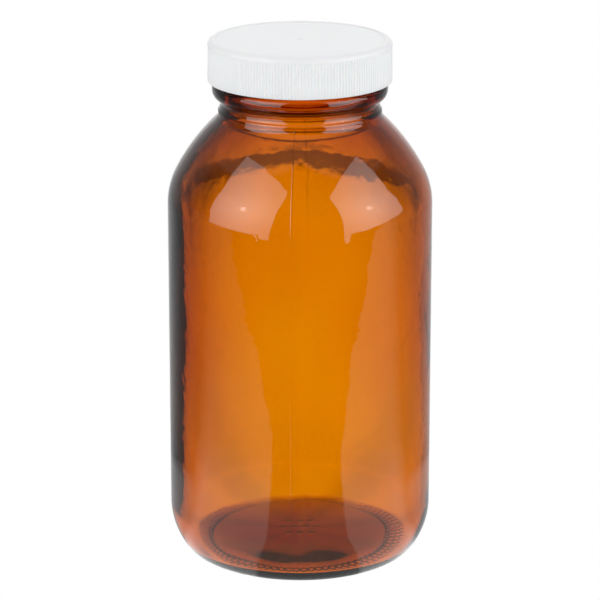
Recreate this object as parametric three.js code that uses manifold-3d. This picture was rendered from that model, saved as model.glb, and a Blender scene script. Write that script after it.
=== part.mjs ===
// A wide-mouth round bottle of amber glass with a ribbed white screw cap, empty.
//
// Millimetres, +Z up. The origin is the centre of the ring that the bottle stands on.
// The object is three solids: the glass bottle, the screw cap, and the foam disc that the cap
// presses on the bottle's mouth. Each is a body of revolution about Z. The bottle and the cap
// also have a helical thread ridge, and the cap has a ring of fine grip ribs.

import * as THREE from "three";
import { mergeVertices } from "three/addons/utils/BufferGeometryUtils.js";
import Module from "manifold-3d";

const wasm = await Module();
wasm.setup();

// Driving dimensions: the bottle's body
const BODY_RADIUS = 40;
const WALL = 2.8;
const HEEL_RADIUS = 21.4; // the large arc at the foot of the wall
const HEEL_SWEEP = 0.66; // radians
const FOOT_RADIUS = 6.1; // the small arc from the heel down to the standing ring
const SHOULDER_START = 110;
const CORNER_RADIUS = 22.3; // the shoulder's lower arc
const CORNER_SWEEP = 0.49; // radians
const DOME_RADIUS = 62.8; // the shoulder's long upper arc

// Driving dimensions: the bottle's base
const STANDING_RING_INNER = 27.2;
const RING_STEP = 0.6; // how far the underside steps up inside the standing ring
const PUSH_UP = 0.9; // height of the underside's middle
const FLOOR_EDGE_HEIGHT = 4.2;
const FLOOR_CENTRE_HEIGHT = 7.2; // the glass floor is thickest in the middle
const INNER_FOOT_RADIUS = 1.2; // the tight inner corner between the heel and the floor

// Driving dimensions: the neck and its screw finish
const NECK_RADIUS = 24.6;
const NECK_WALL = 3.7; // the glass thickens from the shoulder up to the neck
const NECK_FILLET = 2.5;
const NECK_SEAM_HEIGHT = 139.1;
const GROOVE_RADIUS = 24.1;
const GROOVE_HEIGHT = 141;
const BEAD_RADIUS = 26.4;
const BEAD_LOWER_RADIUS = 3.4;
const BEAD_UPPER_RADIUS = 1.6;
const BEAD_HEIGHT = 145.2; // where the bead is widest
const BEAD_BAND = 0.5; // height of the bead's straight band
const LAND_HEIGHT = 157.4; // the bottle's top edge, which the liner seals
const FINISH_RADIUS = 24.8; // the cylinder that the thread stands on
const LIP_OUTER_ROUND = 0.9;
const LIP_INNER_ROUND = 0.8;

// Driving dimensions: the thread, right-handed with one start
const PITCH = 25.4 / 6;
const THREAD_TOP_BELOW_LAND = 1.14;
const THREAD_STEP = 7.5; // degrees
const GLASS_THREAD = { depth: 1.2, base: 2.4, crest: 0.9, steps: 55 };
const CAP_THREAD = { depth: 1.2, base: 1.5, crest: 0.7, steps: 61 };
const CAP_THREAD_LEAD = 9; // steps that the cap's ridge runs on past the top of the bottle's
const THREAD_SPACING = 1.5; // the cap's ridge sits this far under the bottle's
const THREAD_ROOT = 0.4; // how deep a ridge is sunk in its wall
const RUN_OUT = 30; // degrees over which a ridge fades into its wall at each end

// Driving dimensions: the cap
const CAP_RIM_HEIGHT = 147.6;
const CAP_TOP_HEIGHT = 160.3;
const CAP_RADIUS = 27.57; // over the ribs
const RIB_DEPTH = 0.27;
const RIB_COUNT = 180;
const RIB_OVERHANG = 0.05; // how far the rounded edge stands out over the ribs
const CAP_EDGE_ROUND = 1.9;
const CAP_TOP_RECESS = 0.2;
const CAP_TOP_LIP = 0.3;
const CAP_PLATE = 1.6;
const CAP_BORE = 26.5;
const RETAINING_BEAD = { height: 156.75, rise: 0.55, depth: 0.7 };

// Driving dimensions: the liner
const LINER_RADIUS = 26.15;
const LINER_GAP = 0.05; // above and below the disc
const LINER_EDGE = 0.15;

const SMALLEST_DETAIL = 0.01;
const BOTTLE_SEGMENTS = 48;
const CAP_SEGMENTS = 60;

const point = (radius, height) => new THREE.Vector2(radius, height);

// An arc in the plane of radius and height, both ends included.
function arc(centre, radius, from, to, pieces) {
  const clockwise = to < from;
  const curve = new THREE.EllipseCurve(centre.x, centre.y, radius, radius, from, to, clockwise);
  return curve.getPoints(pieces);
}

// An arc whose radius changes evenly on the way.
function easingArc(centre, radiusFrom, radiusTo, from, to, pieces) {
  const points = [];
  for (let i = 0; i <= pieces; i++) {
    const radius = THREE.MathUtils.lerp(radiusFrom, radiusTo, i / pieces);
    const angle = THREE.MathUtils.lerp(from, to, i / pieces);
    points.push(point(centre.x + radius * Math.cos(angle), centre.y + radius * Math.sin(angle)));
  }
  return points;
}

// A shallow dome between the axis and an edge, listed from the axis outwards. A higher power
// keeps the middle flatter.
function shallowDome(centreHeight, edge, pieces, power = 2) {
  const points = [];
  for (let i = 0; i <= pieces; i++) {
    const share = i / pieces;
    points.push(point(edge.x * share, centreHeight + (edge.y - centreHeight) * share ** power));
  }
  return points;
}

// One outline from several stretches, without the points that neighbours share.
function outline(...stretches) {
  const points = [];
  for (const next of stretches.flat()) {
    const last = points.at(-1);
    if (!last || last.distanceTo(next) > 1e-3) points.push(next);
  }
  return points;
}

// The solid that an outline sweeps about Z. The outline starts and ends on the axis and keeps
// the material on its left.
function revolved(points, segments) {
  return new THREE.LatheGeometry(points, segments).rotateX(Math.PI / 2);
}

function solidOf(geometry) {
  const bare = geometry.clone();
  bare.deleteAttribute("normal");
  bare.deleteAttribute("uv");
  const merged = mergeVertices(bare, 1e-5);
  const mesh = new wasm.Mesh({
    numProp: 3,
    vertProperties: new Float32Array(merged.attributes.position.array),
    triVerts: new Uint32Array(merged.index.array),
  });
  return new wasm.Manifold(mesh);
}

// The joined solid as a geometry, without the slivers along the joints.
function geometryOf(solid) {
  const mesh = solid.simplify(SMALLEST_DETAIL).getMesh();
  const geometry = new THREE.BufferGeometry();
  geometry.setAttribute("position", new THREE.BufferAttribute(new Float32Array(mesh.vertProperties), 3));
  geometry.setIndex(new THREE.BufferAttribute(new Uint32Array(mesh.triVerts), 1));
  const faceted = geometry.toNonIndexed();
  faceted.computeVertexNormals();
  return faceted;
}

// A helical ridge on a wall of the given radius. Its middle would be at topHeight where the
// angle is 0, it climbs one pitch in each turn, and its upper end is lead steps on from there.
// side is 1 on the outside of a wall and -1 on the inside. It is a straight bar of the ridge's
// section, bent round the axis, and its crest sinks into the wall at both ends. The section is
// symmetric in height, so turning it over with the side keeps the faces outwards. The steps
// fall between the wall's own facets, so that no two edges coincide.
function helicalRidge({ depth, base, crest, steps }, wallRadius, topHeight, lead, side) {
  const rootWidth = base + ((base - crest) * THREAD_ROOT) / depth;
  const section = new THREE.Shape([
    new THREE.Vector2(-THREAD_ROOT, -rootWidth / 2),
    new THREE.Vector2(depth, -crest / 2),
    new THREE.Vector2(depth, crest / 2),
    new THREE.Vector2(-THREAD_ROOT, rootWidth / 2),
  ]);
  const sweep = steps * THREAD_STEP;
  const bar = new THREE.ExtrudeGeometry(section, { depth: sweep, steps, bevelEnabled: false });
  const first = (lead + 0.5) * THREAD_STEP - sweep;
  const sunk = -THREAD_ROOT / 2;
  const position = bar.getAttribute("position");
  for (let i = 0; i < position.count; i++) {
    const along = position.getZ(i);
    const toEnd = Math.min(along, sweep - along);
    const share = Math.min(1, toEnd / RUN_OUT);
    const out = position.getX(i);
    const raised = out > 0 ? THREE.MathUtils.lerp(sunk, out, share) : out;
    const degrees = first + along;
    const angle = THREE.MathUtils.degToRad(degrees);
    const radius = wallRadius + side * raised;
    const level = topHeight + (PITCH * degrees) / 360 - side * position.getY(i);
    position.setXYZ(i, radius * Math.cos(angle), radius * Math.sin(angle), level);
  }
  return bar;
}

// Underside, heel, wall, shoulder, neck and lip from the axis outwards and up, then down the
// inside at the wall's thickness to the floor.
function bottleOutline() {
  const heelInset = HEEL_RADIUS - FOOT_RADIUS;
  const heelCentre = point(BODY_RADIUS - HEEL_RADIUS, FOOT_RADIUS + heelInset * Math.sin(HEEL_SWEEP));
  const footCentre = point(heelCentre.x + heelInset * Math.cos(HEEL_SWEEP), FOOT_RADIUS);
  const underside = [
    ...shallowDome(PUSH_UP, point(STANDING_RING_INNER - 1, RING_STEP), 3),
    point(STANDING_RING_INNER, 0),
  ];
  const foot = arc(footCentre, FOOT_RADIUS, -Math.PI / 2, -HEEL_SWEEP, 4);
  const heel = arc(heelCentre, HEEL_RADIUS, -HEEL_SWEEP, 0, 5);

  const cornerCentre = point(BODY_RADIUS - CORNER_RADIUS, SHOULDER_START);
  const domeInset = CORNER_RADIUS - DOME_RADIUS;
  const domeCentre = point(
    cornerCentre.x + domeInset * Math.cos(CORNER_SWEEP),
    cornerCentre.y + domeInset * Math.sin(CORNER_SWEEP),
  );
  const filletReach = DOME_RADIUS + NECK_FILLET;
  const domeEnd = Math.acos((NECK_RADIUS + NECK_FILLET - domeCentre.x) / filletReach);
  const filletCentre = point(NECK_RADIUS + NECK_FILLET, domeCentre.y + filletReach * Math.sin(domeEnd));
  const corner = arc(cornerCentre, CORNER_RADIUS, 0, CORNER_SWEEP, 4);
  const dome = arc(domeCentre, DOME_RADIUS, CORNER_SWEEP, domeEnd, 5);
  const fillet = arc(filletCentre, NECK_FILLET, Math.PI + domeEnd, Math.PI, 3);

  const groove = [
    point(NECK_RADIUS, NECK_SEAM_HEIGHT),
    point(GROOVE_RADIUS, NECK_SEAM_HEIGHT + 0.4),
    point(GROOVE_RADIUS, GROOVE_HEIGHT),
  ];
  const beadInset = BEAD_RADIUS - BEAD_LOWER_RADIUS;
  const beadStart = -Math.acos((GROOVE_RADIUS + 0.2 - beadInset) / BEAD_LOWER_RADIUS);
  const beadTop = BEAD_HEIGHT + BEAD_BAND;
  const bead = [
    ...arc(point(beadInset, BEAD_HEIGHT), BEAD_LOWER_RADIUS, beadStart, 0, 4),
    ...arc(point(BEAD_RADIUS - BEAD_UPPER_RADIUS, beadTop), BEAD_UPPER_RADIUS, 0, Math.PI / 2, 3),
  ];

  const bore = NECK_RADIUS - NECK_WALL;
  const outerRound = point(FINISH_RADIUS - LIP_OUTER_ROUND, LAND_HEIGHT - LIP_OUTER_ROUND);
  const innerRound = point(bore + LIP_INNER_ROUND, LAND_HEIGHT - LIP_INNER_ROUND);
  const lip = [
    ...arc(outerRound, LIP_OUTER_ROUND, 0, Math.PI / 2, 3),
    ...arc(innerRound, LIP_INNER_ROUND, Math.PI / 2, Math.PI, 2),
  ];

  const innerInset = HEEL_RADIUS - WALL - INNER_FOOT_RADIUS;
  const innerFootHeight = FLOOR_EDGE_HEIGHT + INNER_FOOT_RADIUS;
  const innerSweep = Math.asin((heelCentre.y - innerFootHeight) / innerInset);
  const innerFootCentre = point(heelCentre.x + innerInset * Math.cos(innerSweep), innerFootHeight);
  const floorEdge = point(innerFootCentre.x, FLOOR_EDGE_HEIGHT);
  const inside = [
    ...arc(filletCentre, NECK_FILLET + NECK_WALL, Math.PI, Math.PI + domeEnd, 3),
    ...easingArc(domeCentre, DOME_RADIUS - NECK_WALL, DOME_RADIUS - WALL, domeEnd, CORNER_SWEEP, 5),
    ...arc(cornerCentre, CORNER_RADIUS - WALL, CORNER_SWEEP, 0, 4),
    ...arc(heelCentre, HEEL_RADIUS - WALL, 0, -innerSweep, 5),
    ...arc(innerFootCentre, INNER_FOOT_RADIUS, -innerSweep, -Math.PI / 2, 3),
    ...shallowDome(FLOOR_CENTRE_HEIGHT, floorEdge, 5, 2.6).reverse(),
  ];
  return outline(underside, foot, heel, corner, dome, fillet, groove, bead, lip, inside);
}

const glassThreadTop = LAND_HEIGHT - THREAD_TOP_BELOW_LAND - GLASS_THREAD.base / 2;

function bottleGeometry() {
  const body = solidOf(revolved(bottleOutline(), BOTTLE_SEGMENTS));
  const ridge = helicalRidge(GLASS_THREAD, FINISH_RADIUS, glassThreadTop, 0, 1);
  return geometryOf(body.add(solidOf(ridge)));
}

// The skirt's outer face: a ring whose outline is a fine zigzag of ribs.
function ribRing() {
  const zigzag = [];
  for (let i = 0; i < 2 * RIB_COUNT; i++) {
    const angle = (i * Math.PI) / RIB_COUNT;
    const radius = i % 2 === 0 ? CAP_RADIUS : CAP_RADIUS - RIB_DEPTH;
    zigzag.push(new THREE.Vector2(radius * Math.cos(angle), radius * Math.sin(angle)));
  }
  const ring = new THREE.Shape(zigzag);
  const hole = new THREE.Path().absarc(0, 0, (CAP_BORE + CAP_RADIUS - RIB_DEPTH) / 2, 0, 2 * Math.PI);
  ring.holes.push(hole);
  const depth = CAP_TOP_HEIGHT - CAP_EDGE_ROUND - CAP_RIM_HEIGHT;
  const geometry = new THREE.ExtrudeGeometry(ring, {
    depth: depth + 0.1,
    bevelEnabled: false,
    curveSegments: CAP_SEGMENTS / 2,
  });
  return geometry.translate(0, 0, CAP_RIM_HEIGHT);
}

// The cap's shell: up the inside to the plate, over the retaining bead, then across the top and
// down the outside.
function capOutline() {
  const root = CAP_RADIUS - RIB_DEPTH - 0.05;
  const topRadius = CAP_RADIUS + RIB_OVERHANG - CAP_EDGE_ROUND;
  const edgeHeight = CAP_TOP_HEIGHT - CAP_EDGE_ROUND;
  const bead = RETAINING_BEAD;
  const outside = [
    point(CAP_BORE, CAP_RIM_HEIGHT),
    point(root, CAP_RIM_HEIGHT),
    point(root, edgeHeight),
    ...arc(point(topRadius, edgeHeight), CAP_EDGE_ROUND, 0, Math.PI / 2, 4),
    point(topRadius - CAP_TOP_LIP, CAP_TOP_HEIGHT),
    point(topRadius - CAP_TOP_LIP - CAP_TOP_RECESS, CAP_TOP_HEIGHT - CAP_TOP_RECESS),
    point(0, CAP_TOP_HEIGHT - CAP_TOP_RECESS),
  ];
  const inside = [
    point(0, CAP_TOP_HEIGHT - CAP_PLATE),
    point(CAP_BORE, CAP_TOP_HEIGHT - CAP_PLATE),
    point(CAP_BORE, bead.height + bead.rise),
    point(CAP_BORE - bead.depth, bead.height + bead.rise / 2),
    point(CAP_BORE, bead.height),
    point(CAP_BORE, CAP_RIM_HEIGHT),
  ];
  return outline(inside, outside);
}

function capGeometry() {
  const shell = solidOf(revolved(capOutline(), CAP_SEGMENTS));
  const ribs = solidOf(ribRing());
  const capThreadTop = glassThreadTop - THREAD_SPACING;
  const ridge = helicalRidge(CAP_THREAD, CAP_BORE, capThreadTop, CAP_THREAD_LEAD, -1);
  return geometryOf(shell.add(ribs).add(solidOf(ridge)));
}

function linerGeometry() {
  const bottom = LAND_HEIGHT + LINER_GAP;
  const top = CAP_TOP_HEIGHT - CAP_PLATE - LINER_GAP;
  const points = [
    point(0, bottom),
    point(LINER_RADIUS - LINER_EDGE, bottom),
    point(LINER_RADIUS, bottom + LINER_EDGE),
    point(LINER_RADIUS, top - LINER_EDGE),
    point(LINER_RADIUS - LINER_EDGE, top),
    point(0, top),
  ];
  return revolved(points, CAP_SEGMENTS);
}

function namedMesh(name, geometry, color, roughness) {
  const material = new THREE.MeshStandardMaterial({ color, roughness, metalness: 0 });
  const mesh = new THREE.Mesh(geometry, material);
  mesh.name = name;
  return mesh;
}

const object = new THREE.Group();
object.add(namedMesh("glass_bottle", bottleGeometry(), "#b5600a", 0.05));

const closure = new THREE.Group();
closure.add(namedMesh("screw_cap", capGeometry(), "#f1f2f3", 0.45));
closure.add(namedMesh("cap_liner", linerGeometry(), "#f4f3ee", 0.7));
object.add(closure);

export default object;
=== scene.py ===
"""Looks of the amber glass bottle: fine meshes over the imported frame, materials, studio and camera."""

import math

import bpy
import numpy as np
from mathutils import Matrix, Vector


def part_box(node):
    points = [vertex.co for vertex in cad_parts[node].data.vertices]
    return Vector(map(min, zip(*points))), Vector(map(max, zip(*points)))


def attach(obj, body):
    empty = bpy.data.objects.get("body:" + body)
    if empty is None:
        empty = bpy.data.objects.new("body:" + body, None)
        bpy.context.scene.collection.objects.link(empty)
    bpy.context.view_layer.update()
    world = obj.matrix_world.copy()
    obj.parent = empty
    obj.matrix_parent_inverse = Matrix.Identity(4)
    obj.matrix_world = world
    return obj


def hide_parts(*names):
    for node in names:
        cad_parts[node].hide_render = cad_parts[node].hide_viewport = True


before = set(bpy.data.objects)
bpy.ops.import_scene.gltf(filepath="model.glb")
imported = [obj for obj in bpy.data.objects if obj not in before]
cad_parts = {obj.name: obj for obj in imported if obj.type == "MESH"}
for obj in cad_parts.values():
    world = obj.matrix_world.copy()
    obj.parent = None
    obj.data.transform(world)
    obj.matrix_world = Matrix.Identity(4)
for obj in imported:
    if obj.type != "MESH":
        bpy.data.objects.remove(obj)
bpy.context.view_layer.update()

MM = 0.001
FULL_TURN = 2 * math.pi
QUARTER_TURN = math.pi / 2

# Sizes read from the frame, in millimetres
bottle_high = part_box("glass_bottle")[1]
cap_low, cap_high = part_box("screw_cap")
liner_low, liner_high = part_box("cap_liner")
BODY_RADIUS = bottle_high.x / MM
LAND_HEIGHT = bottle_high.z / MM
CAP_RIM = cap_low.z / MM
CAP_TOP = cap_high.z / MM
CAP_RADIUS = cap_high.x / MM
LINER_BOTTOM = liner_low.z / MM
LINER_TOP = liner_high.z / MM
LINER_RADIUS = liner_high.x / MM

# The bottle's body, in millimetres and radians
WALL = 2.8
HEEL_RADIUS, HEEL_SWEEP, FOOT_RADIUS = 21.4, 0.66, 6.1
SHOULDER_START, CORNER_RADIUS, CORNER_SWEEP, DOME_RADIUS = 110.0, 22.3, 0.49, 62.8
RING_INNER, RING_STEP, PUSH_UP = 27.2, 0.6, 0.9
FLOOR_EDGE, FLOOR_CENTRE, FLOOR_POWER, INNER_FOOT_RADIUS = 4.2, 7.2, 2.6, 1.2

# The neck and its screw finish
NECK_RADIUS, NECK_FILLET, NECK_WALL = 24.6, 2.5, 3.7
PARTING_HEIGHT, GROOVE_RADIUS, GROOVE_TOP = 139.1, 24.1, 141.0
BEAD_RADIUS, BEAD_LOWER, BEAD_UPPER, BEAD_HEIGHT, BEAD_BAND = 26.4, 3.4, 1.6, 145.2, 0.5
BEAD_ROOT = 0.2
FINISH_RADIUS, LIP_OUTER, LIP_INNER = 24.8, 0.9, 0.8
THREADED_FROM = BEAD_HEIGHT + 2

# The two vertical mould seams, and the heights between which they fade in and out
SEAM_ANGLE = math.radians(-93.7)
SEAM_HALF_WIDTH, SEAM_RISE, SEAM_CLEARANCE = 0.32, 0.08, 0.012
SEAM_FOOT, SEAM_NECK = (1.0, 3.0), (137.0, 139.0)

# The standing ring: the radius where the foot starts to curve up, and where the knurls have ended
STANDING_RADIUS, RING_OUTER = 30.69, 33.0
RING_STEP_EDGE, KNURL_BED_EDGE, KNURL_BED = (26.4, 27.5), (27.2, 27.8), 0.75

# Its knurls: rows as (radius, shift by a share of one knurl), and how a row fades inwards and out
KNURLS, KNURL_DEPTH, KNURL_SHARPNESS = 84, 0.8, 0.8
KNURL_ROWS = [(27.6, 0.0), (29.1, 0.5), (30.6, 0.0), (32.1, 0.5)]
KNURL_ROW_EDGE = (0.3, 0.62)

# The generic mould dots of the underside: rows as (distance from the centre, how many)
DOT_ROWS = [(-5.0, 3), (0.0, 4), (5.0, 3)]
DOT_SPACING, DOT_DEPTH, DOT_INNER, DOT_OUTER = 3.4, 0.35, 0.3, 1.1

# The thread. A ridge is given by half its width at the root and at the crest, and the cap's ridge
# sits under the bottle's
PITCH = 25.4 / 6
THREAD_DEPTH, THREAD_TOP_BELOW_LAND, THREAD_BASE, THREAD_SPACING = 1.2, 1.14, 2.4, 1.5
RUN_OUT = math.radians(30)
GLASS_THREAD_TOP = LAND_HEIGHT - THREAD_TOP_BELOW_LAND - THREAD_BASE / 2
GLASS_SWEEP, GLASS_LEAD, GLASS_RIDGE = math.radians(412.5), 0.0, (1.25, 0.4)
CAP_THREAD_TOP = GLASS_THREAD_TOP - THREAD_SPACING
CAP_SWEEP, CAP_LEAD, CAP_RIDGE = math.radians(457.5), math.radians(67.5), (0.8, 0.3)

# How uneven the glass is inside: thick on the -X side, thin low on the wall, wavy floor
HEAVY_SIDE, THIN_WALL, FLOOR_WAVES = 0.8, 0.28, 0.12

# Heights between which that changes: the heel's waves end, the wall starts and ends, its thin
# part ends, and the neck's even glass starts
HEEL_WAVES_END, WALL_STARTS, WALL_ENDS = (6.0, 22.0), (8.0, 24.0), (100.0, 128.0)
THIN_WALL_ENDS, NECK_STARTS = (36.0, 76.0), (136.0, 142.0)

# The cap
RIBS, RIB_DEPTH, RIB_SHARPNESS = 180, 0.3, 2.2
CAP_EDGE, CAP_LIP, CAP_RECESS, CAP_PLATE, CAP_BORE = 1.9, 0.3, 0.2, 1.6, 26.5
CAP_DRAFT, CAP_CHAMFER = 0.12, 0.12
FLAT_STEP, FLAT_STEP_INNER, FLAT_STEP_OUTER = 0.06, 22.6, 23.4
RETAINING_BEAD, RETAINING_BEAD_DROP = 0.7, 0.42

# The liner
LINER_EDGE = 0.2
LINER_DENT = 0.02

# Columns of faces round each piece, and the length of a row along the outline in millimetres
BOTTLE_COLUMNS, CAP_COLUMNS, LINER_COLUMNS = 204, 240, 180
BOTTLE_COLUMNS_NEAR_AXIS, CAP_COLUMNS_NEAR_AXIS, LINER_COLUMNS_NEAR_AXIS = 60, 48, 36
FACES_PER_RIDGE = 6
OUTSIDE_ROW, INSIDE_ROW, GLASS_THREAD_ROW, CAP_THREAD_ROW = 3.0, 2.8, 0.26, 0.25


# ---------------------------------------------------------------- mesh tools

def smooth(low, high, value):
    """0 below low, 1 above high, and an even S between them."""
    t = np.clip((value - low) / (high - low), 0, 1)
    return t * t * (3 - 2 * t)


def arc(centre, radius, start, end, steps, end_radius=None):
    """Points along an arc, whose radius can change evenly on the way."""
    turn = np.linspace(start, end, steps + 1)
    reach = np.linspace(radius, radius if end_radius is None else end_radius, steps + 1)
    return [(centre[0] + r * math.cos(t), centre[1] + r * math.sin(t)) for r, t in zip(reach, turn)]


def filled(points, step):
    """The outline with its long stretches divided, and without points that repeat."""
    out = [points[0]]
    for r, z in points[1:]:
        r0, z0 = out[-1]
        length = math.hypot(r - r0, z - z0)
        if length < 1e-4:
            continue
        pieces = math.ceil(length / step)
        for i in range(1, pieces + 1):
            t = i / pieces
            out.append((r0 + (r - r0) * t, z0 + (z - z0) * t))
    return out


def even(count):
    """Angles of evenly spaced columns."""
    return np.arange(count) * (FULL_TURN / count)


class Skin:
    """A closed surface made of rings round Z, joined one after another."""

    def __init__(self):
        self.points, self.faces, self.last = [], [], None
        self.total = 0

    def _add(self, xyz):
        start = self.total
        self.points.append(xyz)
        self.total += len(xyz)
        return start

    def pole(self, height):
        """One point on the axis, which starts or closes the surface."""
        start = self._add(np.array([[0.0, 0.0, height]]))
        if self.last is not None:
            first, angles = self.last
            n = len(angles)
            self.faces += [(first + i, first + (i + 1) % n, start) for i in range(n)]
        self.last = (start, None)

    def ring(self, angles, radius, height):
        """A ring of points. Radius and height are one number each, or one for every angle."""
        radius = np.broadcast_to(radius, angles.shape)
        height = np.broadcast_to(height, angles.shape)
        start = self._add(np.stack([radius * np.cos(angles), radius * np.sin(angles), height], axis=1))
        first, before = self.last
        if before is None:
            n = len(angles)
            self.faces += [(start + (i + 1) % n, start + i, first) for i in range(n)]
        else:
            self._bridge(first, before, start, angles)
        self.last = (start, angles)

    def _bridge(self, a0, a, b0, b):
        """Faces between two rings, which can differ in their number of points."""
        n, m = len(a), len(b)
        if n == m:
            self.faces += [(a0 + i, a0 + (i + 1) % n, b0 + (i + 1) % n, b0 + i) for i in range(n)]
            return
        i = j = 0
        while i < n or j < m:
            next_a = a[i + 1] if i + 1 < n else a[0] + FULL_TURN
            next_b = b[j + 1] if j + 1 < m else b[0] + FULL_TURN
            if j >= m or (i < n and next_a <= next_b + 1e-9):
                self.faces.append((a0 + i % n, a0 + (i + 1) % n, b0 + j % m))
                i += 1
            else:
                self.faces.append((a0 + i % n, b0 + (j + 1) % m, b0 + j % m))
                j += 1

    def build(self, name):
        mesh = bpy.data.meshes.new(name)
        mesh.from_pydata((np.concatenate(self.points) * MM).tolist(), [], self.faces)
        mesh.validate()
        mesh.polygons.foreach_set("use_smooth", [True] * len(mesh.polygons))
        mesh.update()
        made = bpy.data.objects.new(name, mesh)
        bpy.context.scene.collection.objects.link(made)
        return made


def helix_ridge(angles, height, top, sweep, lead, ridge):
    """How far a screw ridge stands out, 0 to 1, at each angle of a ring."""
    half_root, half_crest = ridge
    turns = np.round((top + PITCH * angles / FULL_TURN - height) / PITCH)
    along = angles - FULL_TURN * turns
    away = np.abs(height - (top + PITCH * along / FULL_TURN))
    ends = np.minimum(lead - along, along - lead + sweep)
    return smooth(half_root, half_crest, away) * smooth(0, RUN_OUT, ends)


class Waves:
    """A gentle unevenness round and along the bottle, the same on every run: a sum of count waves,
    each with a whole number of turns and a wave length within the stated limits."""

    def __init__(self, seed, count, turns, length, size):
        draw = np.random.RandomState(seed)
        self.turns = draw.randint(turns[0], turns[1] + 1, count)
        lengths = draw.uniform(length[0], length[1], count)
        self.climb = FULL_TURN / lengths * draw.choice([-1, 1], count)
        self.phase = draw.uniform(0, FULL_TURN, count)
        self.size = size / math.sqrt(count)

    def at(self, angles, along):
        parts = zip(self.turns, self.climb, self.phase)
        return self.size * np.sum([np.cos(m * angles + k * along + p) for m, k, p in parts], axis=0)


# ---------------------------------------------------------------- the bottle's outline

# Centres of the body's arcs as (radius, height), which the outside and the inside share
FOOT_INSET = HEEL_RADIUS - FOOT_RADIUS
HEEL = (BODY_RADIUS - HEEL_RADIUS, FOOT_RADIUS + FOOT_INSET * math.sin(HEEL_SWEEP))
FOOT = (HEEL[0] + FOOT_INSET * math.cos(HEEL_SWEEP), FOOT_RADIUS)
CORNER = (BODY_RADIUS - CORNER_RADIUS, SHOULDER_START)
DOME_INSET = CORNER_RADIUS - DOME_RADIUS
DOME = (
    CORNER[0] + DOME_INSET * math.cos(CORNER_SWEEP),
    CORNER[1] + DOME_INSET * math.sin(CORNER_SWEEP),
)
DOME_END = math.acos((NECK_RADIUS + NECK_FILLET - DOME[0]) / (DOME_RADIUS + NECK_FILLET))
FILLET = (NECK_RADIUS + NECK_FILLET, DOME[1] + (DOME_RADIUS + NECK_FILLET) * math.sin(DOME_END))


def outside_outline():
    """Points of radius and height from the foot's lowest place up to the land of the mouth."""
    bead_inset = BEAD_RADIUS - BEAD_LOWER
    bead_start = -math.acos((GROOVE_RADIUS + BEAD_ROOT - bead_inset) / BEAD_LOWER)
    parting_step = [
        (NECK_RADIUS, PARTING_HEIGHT - 0.1),
        (NECK_RADIUS - 0.08, PARTING_HEIGHT),
        (GROOVE_RADIUS + 0.1, PARTING_HEIGHT + 0.35),
        (GROOVE_RADIUS, PARTING_HEIGHT + 0.5),
        (GROOVE_RADIUS, GROOVE_TOP),
    ]
    lip_centre = (FINISH_RADIUS - LIP_OUTER, LAND_HEIGHT - LIP_OUTER)
    return [
        *arc(FOOT, FOOT_RADIUS, -QUARTER_TURN, -HEEL_SWEEP, 14),
        *arc(HEEL, HEEL_RADIUS, -HEEL_SWEEP, 0, 22),
        *arc(CORNER, CORNER_RADIUS, 0, CORNER_SWEEP, 18),
        *arc(DOME, DOME_RADIUS, CORNER_SWEEP, DOME_END, 30),
        *arc(FILLET, NECK_FILLET, math.pi + DOME_END, math.pi, 8),
        *parting_step,
        *arc((bead_inset, BEAD_HEIGHT), BEAD_LOWER, bead_start, 0, 14),
        *arc((BEAD_RADIUS - BEAD_UPPER, BEAD_HEIGHT + BEAD_BAND), BEAD_UPPER, 0, QUARTER_TURN, 10),
        (FINISH_RADIUS, LAND_HEIGHT - LIP_OUTER),
        *arc(lip_centre, LIP_OUTER, 0, QUARTER_TURN, 6),
    ]


def inside_outline():
    """Points of radius and height from the land of the mouth down to the floor's edge."""
    bore = NECK_RADIUS - NECK_WALL
    inset = HEEL_RADIUS - WALL - INNER_FOOT_RADIUS
    turned = math.asin((HEEL[1] - FLOOR_EDGE - INNER_FOOT_RADIUS) / inset)
    inner_foot = (HEEL[0] + inset * math.cos(turned), FLOOR_EDGE + INNER_FOOT_RADIUS)
    return [
        *arc((bore + LIP_INNER, LAND_HEIGHT - LIP_INNER), LIP_INNER, QUARTER_TURN, math.pi, 6),
        *arc(FILLET, NECK_FILLET + NECK_WALL, math.pi, math.pi + DOME_END, 10),
        *arc(DOME, DOME_RADIUS - NECK_WALL, DOME_END, CORNER_SWEEP, 28, DOME_RADIUS - WALL),
        *arc(CORNER, CORNER_RADIUS - WALL, CORNER_SWEEP, 0, 16),
        *arc(HEEL, HEEL_RADIUS - WALL, 0, -turned, 16),
        *arc(inner_foot, INNER_FOOT_RADIUS, -turned, -QUARTER_TURN, 10),
    ]


# ---------------------------------------------------------------- the bottle's surface

def bottle_angles(count):
    """Even columns, with closer ones along the two vertical mould seams."""
    seam_columns = np.array([-1.1, -1, -0.5, 0, 0.5, 1, 1.1]) * SEAM_HALF_WIDTH / BODY_RADIUS
    seams = [SEAM_ANGLE % FULL_TURN, (SEAM_ANGLE + math.pi) % FULL_TURN]
    angles = even(count)
    for seam in seams:
        angles = angles[np.abs(angles - seam) > SEAM_CLEARANCE]
    return np.sort(np.concatenate([angles, *[seam + seam_columns for seam in seams]]))


def seam_rise(angles, height):
    """How far the seams stand out at each angle of a ring."""
    near = np.abs((angles - SEAM_ANGLE + QUARTER_TURN) % math.pi - QUARTER_TURN) * BODY_RADIUS
    rise = SEAM_RISE * np.clip(1 - near / SEAM_HALF_WIDTH, 0, 1)
    return rise * smooth(*SEAM_FOOT, height) * (1 - smooth(*SEAM_NECK, height))


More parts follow.
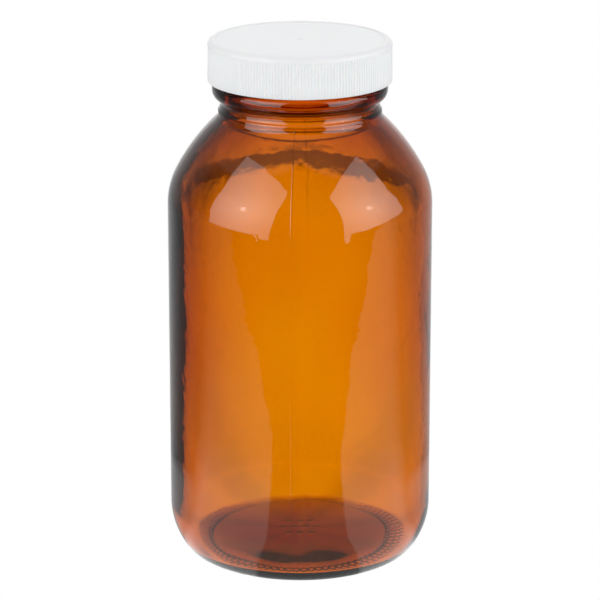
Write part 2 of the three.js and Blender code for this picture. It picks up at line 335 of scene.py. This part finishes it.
def mould_dots(angles, radius):
    """The depth of the dimples near the middle of the underside."""
    x, y = radius * np.cos(angles), radius * np.sin(angles)
    depth = np.zeros(angles.shape)
    for row, count in DOT_ROWS:
        for i in range(count):
            away = np.hypot(x - DOT_SPACING * (i - (count - 1) / 2), y - row)
            depth += DOT_DEPTH * (1 - smooth(DOT_INNER, DOT_OUTER, away))
    return depth


def add_underside(skin, columns):
    """The pushed-up middle with its mould dots."""
    skin.pole(PUSH_UP)
    edge = RING_INNER - 1
    for r in [*np.arange(0.6, 8.6, 0.44), *np.linspace(9.0, edge, 12)]:
        angles = even(BOTTLE_COLUMNS_NEAR_AXIS) if r < 1.5 else columns
        height = PUSH_UP + (RING_STEP - PUSH_UP) * (r / edge) ** 2
        skin.ring(angles, r, height + mould_dots(angles, r))


def add_standing_ring(skin):
    """The ring that the bottle stands on, knurled with rows of short radial ridges."""
    angles = even(KNURLS * FACES_PER_RIDGE)
    for r in np.arange(26.6, 32.7, 0.3):
        base = RING_STEP - RING_STEP * smooth(*RING_STEP_EDGE, r) + KNURL_BED * smooth(*KNURL_BED_EDGE, r)
        beyond = max(0.0, r - STANDING_RADIUS)
        foot_lift = FOOT_RADIUS - math.sqrt(FOOT_RADIUS ** 2 - beyond ** 2)
        height = np.full(angles.shape, base + foot_lift)
        for row, shift in KNURL_ROWS:
            ridge = np.clip(np.cos(KNURLS * angles + shift * FULL_TURN), 0, 1) ** KNURL_SHARPNESS
            height -= KNURL_DEPTH * ridge * (1 - smooth(*KNURL_ROW_EDGE, abs(r - row)))
        skin.ring(angles, r, np.maximum(height, foot_lift))


def add_outside(skin, columns):
    """Heel, wall, shoulder and neck with the mould seams, then the finish with its thread. The
    outline's first points are left out, where the standing ring takes their place."""
    outline = [p for p in filled(outside_outline(), OUTSIDE_ROW) if p[0] > RING_OUTER or p[1] > 10]
    for r, z in [p for p in outline if p[1] < THREADED_FROM]:
        skin.ring(columns, r + seam_rise(columns, z), z)
    for r, z in filled([p for p in outline if p[1] >= THREADED_FROM], GLASS_THREAD_ROW):
        ridge = helix_ridge(columns, z, GLASS_THREAD_TOP, GLASS_SWEEP, GLASS_LEAD, GLASS_RIDGE)
        skin.ring(columns, r + THREAD_DEPTH * ridge, z)


def add_inside(skin, columns):
    """The inside, uneven as blown glass is, and the floor, which rises to its centre."""
    broad = Waves(seed=3, count=7, turns=(2, 5), length=(60, 140), size=0.10)
    close = Waves(seed=11, count=9, turns=(6, 14), length=(14, 34), size=0.02)
    heel = Waves(seed=23, count=8, turns=(4, 13), length=(20, 60), size=0.06)
    heavy_side = np.where(np.cos(columns) < 0, HEAVY_SIDE, 0.0) * np.cos(columns) ** 4
    outline = inside_outline()
    for r, z in filled(outline, INSIDE_ROW):
        below_neck = 1 - smooth(*NECK_STARTS, z)
        low = 1 - smooth(*HEEL_WAVES_END, z)
        waves = below_neck * (broad.at(columns, z) + close.at(columns, z)) + low * heel.at(columns, z + r)
        wall = smooth(*WALL_STARTS, z) * (1 - smooth(*WALL_ENDS, z))
        settled = THIN_WALL * wall * (1 - smooth(*THIN_WALL_ENDS, z)) - wall * heavy_side
        skin.ring(columns, r + waves + settled, z)
    edge = outline[-1][0]
    for r in np.linspace(edge, 1.5, 26)[1:]:
        angles = columns if r > 6 else even(BOTTLE_COLUMNS_NEAR_AXIS)
        level = FLOOR_CENTRE + (FLOOR_EDGE - FLOOR_CENTRE) * (r / edge) ** FLOOR_POWER
        skin.ring(angles, r, level + FLOOR_WAVES * heel.at(angles, r * 2) * (r / edge))
    skin.pole(FLOOR_CENTRE)


def make_bottle():
    columns = bottle_angles(BOTTLE_COLUMNS)
    skin = Skin()
    add_underside(skin, columns)
    add_standing_ring(skin)
    add_outside(skin, columns)
    add_inside(skin, columns)
    return skin.build("amber_bottle")


# ---------------------------------------------------------------- the cap and its liner

def add_cap_top(skin):
    """From the centre of the top outwards: the gate mark, the flat, its lip and the round edge."""
    plain, few = even(CAP_COLUMNS), even(CAP_COLUMNS_NEAR_AXIS)
    flat_edge = CAP_RADIUS - CAP_EDGE
    lip = flat_edge - CAP_LIP
    level = CAP_TOP - CAP_RECESS
    skin.pole(level + 0.10)
    gate = [(0.25, 0.09), (0.45, 0.0), (0.7, -0.16), (1.0, -0.2), (1.3, -0.16), (1.6, -0.04), (1.9, 0.0)]
    for r, rise in gate:
        skin.ring(few, r, level + rise)
    for r in [3, 5, 8, 12, 16, 20, FLAT_STEP_INNER, 23.0, FLAT_STEP_OUTER, 24.4, lip - CAP_RECESS]:
        skin.ring(plain, r, level - FLAT_STEP * smooth(FLAT_STEP_INNER, FLAT_STEP_OUTER, r))
    skin.ring(plain, lip - 0.08, level + 0.03)
    skin.ring(plain, lip, CAP_TOP - 0.05)
    skin.ring(plain, lip + 0.12, CAP_TOP)
    for r, z in arc((flat_edge, CAP_TOP - CAP_EDGE), CAP_EDGE, QUARTER_TURN, 0, 12)[:-1]:
        skin.ring(plain, r, z)


def add_cap_skirt(skin):
    """The ribbed skirt down to the rim. The ribs start gradually and the skirt has a draft."""
    ribbed = even(RIBS * FACES_PER_RIDGE)
    valley = (0.5 - 0.5 * np.cos(RIBS * ribbed)) ** RIB_SHARPNESS
    rib_top = CAP_TOP - CAP_EDGE
    heights = [rib_top, rib_top - 0.25, rib_top - 0.5, rib_top - 0.8]
    heights += list(np.linspace(rib_top - 1.4, CAP_RIM + 0.35, 6))
    for z in heights:
        depth = RIB_DEPTH * smooth(rib_top + 0.05, rib_top - 0.7, z)
        draft = CAP_DRAFT * (1 - smooth(CAP_RIM, rib_top, z)) - CAP_DRAFT
        skin.ring(ribbed, CAP_RADIUS + draft - depth * valley, z)
    skin.ring(ribbed, CAP_RADIUS - CAP_CHAMFER - RIB_DEPTH * 0.9 * valley, CAP_RIM + CAP_CHAMFER)
    skin.ring(even(CAP_COLUMNS), CAP_RADIUS - RIB_DEPTH - CAP_CHAMFER, CAP_RIM)


def add_cap_inside(skin):
    """From the rim up past the thread and the retaining bead to the plate."""
    plain = even(CAP_COLUMNS)
    plate = CAP_TOP - CAP_PLATE
    bead = LINER_BOTTOM - RETAINING_BEAD_DROP
    skin.ring(plain, CAP_BORE + 0.25, CAP_RIM)
    skin.ring(plain, CAP_BORE + 0.06, CAP_RIM + 0.18)
    for r, z in filled([(CAP_BORE, CAP_RIM + 0.4), (CAP_BORE, plate - 0.3)], CAP_THREAD_ROW):
        ridge = helix_ridge(plain, z, CAP_THREAD_TOP, CAP_SWEEP, CAP_LEAD, CAP_RIDGE)
        ring = RETAINING_BEAD * (1 - smooth(0.05, 0.36, abs(z - bead)))
        skin.ring(plain, r - THREAD_DEPTH * ridge - ring, z)
    skin.ring(plain, CAP_BORE - 0.1, plate - 0.08)
    for r in [CAP_BORE - 0.35, 24, 20, 15, 10, 5]:
        skin.ring(plain, r, plate)
    skin.ring(even(CAP_COLUMNS_NEAR_AXIS), 2, plate)
    skin.pole(plate)


def make_cap():
    skin = Skin()
    add_cap_top(skin)
    add_cap_skirt(skin)
    add_cap_inside(skin)
    return skin.build("ribbed_cap")


def make_liner():
    """The foam disc, with a slight dent where it presses on the mouth's land."""
    columns, few = even(LINER_COLUMNS), even(LINER_COLUMNS_NEAR_AXIS)
    skin = Skin()
    skin.pole(LINER_BOTTOM)
    land = (NECK_RADIUS - NECK_WALL + FINISH_RADIUS) / 2
    skin.ring(few, 3, LINER_BOTTOM)
    for r in [8, 14, 19, land - 1.4, land - 1.0, land + 1.0, land + 1.4]:
        dent = LINER_DENT * (1 - smooth(0.9, 1.5, abs(r - land)))
        skin.ring(columns, r, LINER_BOTTOM + dent)
    inset = LINER_RADIUS - LINER_EDGE
    for r, z in arc((inset, LINER_BOTTOM + LINER_EDGE), LINER_EDGE, -QUARTER_TURN, 0, 4):
        skin.ring(columns, r, z)
    for r, z in arc((inset, LINER_TOP - LINER_EDGE), LINER_EDGE, 0, QUARTER_TURN, 4):
        skin.ring(columns, r, z)
    for r in [19, 8]:
        skin.ring(columns, r, LINER_TOP)
    skin.ring(few, 3, LINER_TOP)
    skin.pole(LINER_TOP)
    return skin.build("foam_liner")


# ---------------------------------------------------------------- node tools

WHITE = (1.0, 1.0, 1.0, 1.0)


class Nodes:
    """A short way to write a node tree."""

    def __init__(self, owner):
        owner.use_nodes = True
        self.tree = owner.node_tree
        self.tree.nodes.clear()

    def add(self, kind, settings=None, **inputs):
        """A node with its settings. An input is named by its socket, or i0, i1 by its place."""
        node = self.tree.nodes.new(kind)
        for key, value in (settings or {}).items():
            setattr(node, key, value)
        for key, value in inputs.items():
            self.set(node.inputs[int(key[1:]) if key[1:].isdigit() else key.replace("_", " ")], value)
        return node

    def set(self, socket, value):
        if isinstance(value, bpy.types.NodeSocket):
            self.tree.links.new(value, socket)
        else:
            socket.default_value = value

    def math(self, operation, a, b=0.0):
        return self.add("ShaderNodeMath", {"operation": operation}, i0=a, i1=b).outputs[0]

    def times(self, a, b):
        return self.math("MULTIPLY", a, b)

    def vector_math(self, operation, a, b=None):
        node = self.add("ShaderNodeVectorMath", {"operation": operation}, i0=a)
        if b is not None:
            self.set(node.inputs[1], b)
        return node.outputs

    def map(self, value, low, high, to_low, to_high):
        """A smooth change from to_low, where the value is low, to to_high, where it is high."""
        node = self.add(
            "ShaderNodeMapRange", {"interpolation_type": "SMOOTHSTEP"},
            Value=value, From_Min=low, From_Max=high, To_Min=to_low, To_Max=to_high,
        )
        return node.outputs["Result"]

    def choose(self, flag, otherwise, chosen):
        node = self.add("ShaderNodeMix", {"data_type": "FLOAT"}, Factor=flag)
        self.set(node.inputs[2], otherwise)
        self.set(node.inputs[3], chosen)
        return node.outputs[0]

    def tint(self, factor, first, second):
        """A colour between two others."""
        node = self.add("ShaderNodeMix", {"data_type": "RGBA"}, Factor=factor)
        self.set(node.inputs[6], (*first, 1.0))
        self.set(node.inputs[7], (*second, 1.0))
        return node.outputs[2]

    def ramp(self, value, span, stops):
        """A line through (value, level) stops, for values from 0 to span and levels up to 2."""
        node = self.add("ShaderNodeValToRGB", Fac=self.math("DIVIDE", value, span))
        ramp = node.color_ramp
        while len(ramp.elements) < len(stops):
            ramp.elements.new(1.0)
        for element, (place, level) in zip(ramp.elements, stops):
            element.position = place / span
            element.color = (level / 2, level / 2, level / 2, 1.0)
        return self.times(node.outputs["Color"], 2.0)

    def noise(self, place, scale, detail, roughness):
        node = self.add(
            "ShaderNodeTexNoise", Vector=place, Scale=scale, Detail=detail, Roughness=roughness,
        )
        return node.outputs["Fac"]

    def parts(self, vector):
        return self.add("ShaderNodeSeparateXYZ", Vector=vector).outputs

    def bearing(self, direction):
        """Degrees between a direction and +Y, seen from above."""
        axis = self.parts(direction)
        turn = self.math("ARCTAN2", self.math("ABSOLUTE", axis["X"]), axis["Y"])
        return self.math("DEGREES", turn)

    def place(self):
        return self.add("ShaderNodeTexCoord").outputs["Object"]


# ---------------------------------------------------------------- materials

# What the glass lets through of each colour, and how strongly that works per metre
GLASS_PASSES = (0.917, 0.764, 0.0)
GLASS_DENSITY = 1500.0


def amber_glass():
    """Clear surface over an absorbing volume. The ripple fades out towards the heel."""
    material = bpy.data.materials.new("amber_glass")
    n = Nodes(material)
    place = n.place()
    fade = n.map(n.parts(place)["Z"], 0.012, 0.04, 0.15, 1.0)
    ripple = n.times(n.noise(place, scale=110.0, detail=2.5, roughness=0.55), fade)
    bump = n.add("ShaderNodeBump", Strength=0.45, Distance=0.0002, Height=ripple)
    film = n.noise(place, scale=220.0, detail=4.0, roughness=0.6)
    shader = n.add(
        "ShaderNodeBsdfPrincipled",
        Base_Color=WHITE, IOR=1.52, Transmission_Weight=1.0,
        Roughness=n.map(film, 0.45, 0.75, 0.0, 0.03), Normal=bump.outputs["Normal"],
    )
    volume = n.add("ShaderNodeVolumeAbsorption", Color=(*GLASS_PASSES, 1.0), Density=GLASS_DENSITY)
    n.add("ShaderNodeOutputMaterial", Surface=shader.outputs[0], Volume=volume.outputs[0])
    return material


def cap_plastic():
    """White polypropylene: a fine grain, and a slight cloud in its colour and gloss."""
    material = bpy.data.materials.new("cap_plastic")
    n = Nodes(material)
    place = n.place()
    cloud = n.noise(place, scale=60.0, detail=3.0, roughness=0.55)
    grain = n.noise(place, scale=2600.0, detail=3.0, roughness=0.6)
    colour = n.tint(n.map(cloud, 0.35, 0.65, 0.0, 1.0), (0.845, 0.860, 0.872), (0.870, 0.880, 0.890))
    bump = n.add("ShaderNodeBump", Strength=0.12, Distance=0.00008, Height=grain)
    shader = n.add(
        "ShaderNodeBsdfPrincipled",
        Base_Color=colour, IOR=1.49, Roughness=n.map(cloud, 0.3, 0.7, 0.38, 0.5),
        Subsurface_Weight=0.12, Subsurface_Scale=0.0012, Normal=bump.outputs["Normal"],
    )
    n.add("ShaderNodeOutputMaterial", Surface=shader.outputs[0])
    return material


def liner_foam():
    """Off-white foam with small cells."""
    material = bpy.data.materials.new("liner_foam")
    n = Nodes(material)
    place = n.place()
    cells = n.add("ShaderNodeTexVoronoi", Vector=place, Scale=2400.0).outputs["Distance"]
    cloud = n.noise(place, scale=120.0, detail=3.0, roughness=0.5)
    colour = n.tint(n.map(cloud, 0.3, 0.7, 0.0, 1.0), (0.83, 0.82, 0.78), (0.88, 0.87, 0.84))
    bump = n.add("ShaderNodeBump", Strength=0.35, Distance=0.0002, Height=cells)
    shader = n.add(
        "ShaderNodeBsdfPrincipled",
        Base_Color=colour, Roughness=n.map(cloud, 0.3, 0.7, 0.6, 0.75), Normal=bump.outputs["Normal"],
    )
    n.add("ShaderNodeOutputMaterial", Surface=shader.outputs[0])
    return material


# ---------------------------------------------------------------- studio

# Brightness of the room by kind of ray: what the camera sees, what glass lets through, what
# lights the cap. Lengths in this part are metres, and pairs are (left, right)
TO_CAMERA = 1.0
THROUGH = 1.56
AMBIENT = 1.0

# Behind the glass: bright lanes that run out from the bottle, one every LANE_SPACING degrees. They
# fade from LANE_CORE to LANE_SIDE off their middle line, keep that width up to LANE_WIDTH_ENDS from
# the bottle, and leave BETWEEN_LANES of the light between them
LANE_SPACING = 45.0
LANE_CORE, LANE_SIDE, LANE_WIDTH_ENDS, BETWEEN_LANES = 0.005, 0.165, 0.65, 0.05
# Painted shadow: the share of light the floor keeps under the bottle, as glass shows it
PAINTED_SHADOW_UNDER_BOTTLE = 0.55

# Light for rays that only pass through the wall at the bottle's edge: in and out again
EDGE_LIGHT = (0.06, 0.60)
EDGE_CROSSINGS = 2.5

# The lit table as glass mirrors it: how it opens behind the bottle, and its two near edges
TABLE_OPENING = (0.39, 0.61)
TABLE_SLANTED_EDGE = (-0.106, -0.070)
TABLE_NEAR_EDGE = (-0.225, -0.199)

SOFTBOX_DISTANCE, SOFTBOX_CENTRE_HEIGHT = 0.41, 0.115
TABLE_REACH, TABLE_DROP = 6.0, 0.0002

CAMERA_PLACE = (0.0, -0.8958, 0.3465)
CAMERA_TILT_DOWN, CAMERA_LENS, CAMERA_SENSOR, CAMERA_NEAREST = 0.2902, 183.85, 36.0, 0.01


def compass(azimuth, elevation):
    """The direction at an azimuth measured from -Y towards +X, in degrees, and an elevation."""
    turn, lift = math.radians(azimuth), math.radians(elevation)
    return Vector((math.sin(turn) * math.cos(lift), -math.cos(turn) * math.cos(lift), math.sin(lift)))


def by_ray(n, through, mirrored, ambient):
    """One strength for each kind of ray."""
    path = n.add("ShaderNodeLightPath").outputs
    total = ambient
    kinds = (("Is Reflection Ray", mirrored), ("Is Diffuse Ray", ambient))
    kinds += (("Is Transmission Ray", through), ("Is Camera Ray", TO_CAMERA))
    for flag, strength in kinds:
        total = n.choose(path[flag], total, strength)
    return total


def only_light(n, material, strength):
    """A surface that gives off light, but isn't sampled as a lamp."""
    light = n.add("ShaderNodeEmission", Color=WHITE, Strength=strength)
    n.add("ShaderNodeOutputMaterial", Surface=light.outputs[0])
    material.cycles.emission_sampling = "NONE"


def lane_light(n, folded, distance):
    """How bright the lanes are. Close to the bottle they merge, with slightly darker sides. Further
    out they keep their width, and beyond that their angle."""
    parting = n.map(distance, 0.25, 0.5, 0.45, 1.0)
    spread = n.times(n.math("MINIMUM", distance, LANE_WIDTH_ENDS), parting)
    aside = n.times(n.math("SINE", n.math("RADIANS", folded)), spread)
    shaded = n.times(n.map(folded, 8.0, 20.0, 0.0, 0.18), n.map(distance, 0.14, 0.27, 1.0, 0.0))
    lane = n.map(aside, LANE_CORE, LANE_SIDE, 1.0, BETWEEN_LANES)
    return n.times(lane, n.math("SUBTRACT", 1.0, shaded))


def dark_step(n, bearing, distance):
    """A darker stretch of the table behind the bottle, on the +Y side only."""
    starts = n.map(distance, 0.60, 0.66, 0.0, 0.72)
    ends = n.map(distance, 0.80, 1.00, 1.0, 0.0)
    return n.times(n.times(starts, ends), n.map(bearing, 40.0, 60.0, 1.0, 0.0))


def seen_through(n, bearing, distance, on_right, straight):
    """What glass shows of the room: lanes that are fixed in the room and repeat round the bottle.
    Rays that go into the glass and out again only once, at the bottle's edges, get the light set
    for the edges instead, except within straight degrees of a lane's middle."""
    folded = n.math("PINGPONG", bearing, LANE_SPACING / 2)
    lane = lane_light(n, folded, distance)
    light = n.times(lane, n.math("SUBTRACT", 1.0, dark_step(n, bearing, distance)))
    crossed = n.add("ShaderNodeLightPath").outputs["Transmission Depth"]
    at_edge = n.math("LESS_THAN", crossed, EDGE_CROSSINGS)
    at_edge = n.times(at_edge, n.map(distance, 0.05, 0.07, 0.0, 1.0))
    at_edge = n.times(at_edge, n.math("GREATER_THAN", folded, straight))
    return n.times(THROUGH, n.choose(at_edge, light, n.choose(on_right, *EDGE_LIGHT)))


def softbox(name, corners, bright_spot):
    """A four-sided soft light that stands beside the camera and shows only as a reflection. Its
    corners and its bright spot are directions from the bottle's shoulder."""
    middle = Vector((0, 0, SOFTBOX_CENTRE_HEIGHT))
    card = flat_mesh(name, [middle + compass(*corner) * SOFTBOX_DISTANCE for corner in corners])
    material = bpy.data.materials.new(name)
    n = Nodes(material)
    outwards = n.vector_math("SUBTRACT", n.place(), middle)["Vector"]
    outwards = n.vector_math("NORMALIZE", outwards)["Vector"]
    towards_spot = n.vector_math("DOT_PRODUCT", outwards, compass(*bright_spot))["Value"]
    off = n.math("DEGREES", n.math("ARCCOSINE", towards_spot))
    broad_glow, hot_spot = n.map(off, 0.0, 42.0, 4.2, 1.8), n.map(off, 1.0, 4.0, 4.0, 0.0)
    only_light(n, material, n.math("ADD", broad_glow, hot_spot))
    card.data.materials.append(material)
    card.visible_camera = False
    card.visible_diffuse = False
    card.visible_transmission = False
    card.visible_shadow = False


def mirrored_room(n, axis, bearing, lift):
    """What glass mirrors of the room: bright behind the bottle, darker to the sides, and a ceiling."""
    stops = [(0, 1.2), (13, 1.15), (24, 0.62), (45, 0.33), (65, 0.24), (78, 0.1), (120, 0.0)]
    above = n.math("SUBTRACT", lift, n.times(bearing, 0.3))
    return n.math("MAXIMUM", n.ramp(bearing, 180.0, stops), n.map(above, 7.0, 11.0, 0.0, 0.3))


def make_world():
    world = bpy.data.worlds.new("studio")
    bpy.context.scene.world = world
    n = Nodes(world)
    direction = n.add("ShaderNodeTexCoord").outputs["Generated"]
    axis = n.parts(direction)
    bearing = n.bearing(direction)
    lift = n.math("DEGREES", n.math("ARCSINE", axis["Z"]))
    on_right = n.math("GREATER_THAN", axis["X"], 0.0)
    far_away = 10.0
    room = seen_through(n, bearing, far_away, on_right, straight=6.0)
    through = n.times(room, n.map(lift, 10.0, 26.0, 0.8, 0.12))
    from_above = n.map(axis["Z"], 0.1, 1.0, AMBIENT, AMBIENT * 0.9)
    ambient = n.math("ADD", from_above, n.times(axis["X"], 0.05))
    strength = by_ray(n, through, mirrored_room(n, axis, bearing, lift), ambient)
    light = n.add("ShaderNodeBackground", Color=WHITE, Strength=strength)
    n.add("ShaderNodeOutputWorld", Surface=light.outputs[0])


def lit_table(n, axis, aside, on_right):
    """1 on the lit part of the table, which is dark in front of the camera, and 0 off it."""
    opening = n.times(n.choose(on_right, *TABLE_OPENING), axis["Y"])
    lit = n.map(n.math("ADD", aside, opening), -0.002, 0.003, 0.0, 1.0)
    slanted = n.math("ADD", n.times(aside, 0.55), n.times(axis["Y"], 0.835))
    slanted = n.math("SUBTRACT", slanted, n.choose(on_right, *TABLE_SLANTED_EDGE))
    level = n.math("SUBTRACT", axis["Y"], n.choose(on_right, *TABLE_NEAR_EDGE))
    for edge in (slanted, level):
        lit = n.times(lit, n.map(edge, -0.004, 0.006, 0.0, 1.0))
    return lit


def mirrored_table(n, place, bearing, distance):
    """What glass mirrors of the table: lit at both sides of the camera, dark in front of it, and
    lit faintly behind the bottle."""
    axis = n.parts(place)
    aside = n.math("ABSOLUTE", axis["X"])
    on_right = n.math("GREATER_THAN", axis["X"], 0.0)
    left = n.ramp(distance, 0.4, [(0.1, 1.25), (0.16, 0.52), (0.2, 0.46), (0.32, 0.2)])
    right = n.ramp(distance, 0.4, [(0.1, 1.3), (0.16, 0.62), (0.32, 0.55)])
    front = n.times(n.choose(on_right, left, right), n.map(bearing, 80.0, 105.0, 0.0, 1.0))
    stops = [(0, 1.2), (13, 0.9), (24, 0.62), (45, 0.42), (60, 0.24), (85, 0.16), (110, 0.0)]
    level = n.math("MAXIMUM", front, n.ramp(bearing, 180.0, stops))
    # Painted light: the floor close round the bottle is lit, as glass mirrors it
    close = n.map(distance, 0.095, 0.125, 0.6, 0.0)
    return n.math("MAXIMUM", close, n.times(lit_table(n, axis, aside, on_right), level))


def flat_mesh(name, corners):
    """One face for the studio, which isn't part of the object."""
    mesh = bpy.data.meshes.new(name)
    mesh.from_pydata([Vector(c) for c in corners], [], [tuple(range(len(corners)))])
    made = bpy.data.objects.new(name, mesh)
    bpy.context.scene.collection.objects.link(made)
    return made


def make_floor():
    """A floor, a hair below the bottle so that the glass doesn't share a face with it. It is plain white
    to the camera; to glass it shows painted light and shade, with a painted shadow under the bottle.
    """
    sides = ((-1, -1), (1, -1), (1, 1), (-1, 1))
    floor = flat_mesh("floor", [(x * TABLE_REACH, y * TABLE_REACH, -TABLE_DROP) for x, y in sides])
    material = bpy.data.materials.new("pale_floor")
    n = Nodes(material)
    place = n.place()
    distance = n.vector_math("LENGTH", place)["Value"]
    bearing = n.bearing(place)
    # Painted shadow: the floor is darker under the bottle, for light that passes through glass
    painted_shadow_under = n.map(distance, 0.026, 0.032, PAINTED_SHADOW_UNDER_BOTTLE, 1.0)
    on_right = n.math("GREATER_THAN", n.parts(place)["X"], 0.0)
    through = n.times(painted_shadow_under, seen_through(n, bearing, distance, on_right, straight=-1.0))
    mirrored = mirrored_table(n, place, bearing, distance)
    only_light(n, material, by_ray(n, through, mirrored, AMBIENT))
    floor.data.materials.append(material)


def make_camera():
    camera = bpy.data.cameras.new("camera")
    camera.lens = CAMERA_LENS
    camera.sensor_width = CAMERA_SENSOR
    camera.clip_start = CAMERA_NEAREST
    made = bpy.data.objects.new("camera", camera)
    made.location = CAMERA_PLACE
    made.rotation_euler = (QUARTER_TURN - CAMERA_TILT_DOWN, 0.0, 0.0)
    bpy.context.scene.collection.objects.link(made)
    bpy.context.scene.camera = made


# ---------------------------------------------------------------- assembly

bottle = make_bottle()
bottle.data.materials.append(amber_glass())
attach(bottle, "bottle")
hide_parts("glass_bottle")

cap = make_cap()
cap.data.materials.append(cap_plastic())
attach(cap, "cap")
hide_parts("screw_cap")

liner = make_liner()
liner.data.materials.append(liner_foam())
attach(liner, "liner")
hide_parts("cap_liner")

make_world()
make_floor()
softbox("softbox_left", [(-77, 49.5), (-13, 42), (-25, -14.6), (-80, -8)], (-49, 16.7))
softbox("softbox_right", [(29, 38), (80, 48), (95, -1.5), (37, -14.6)], (60, 14.3))
make_camera()
bpy.context.scene.view_settings.view_transform = "Standard"
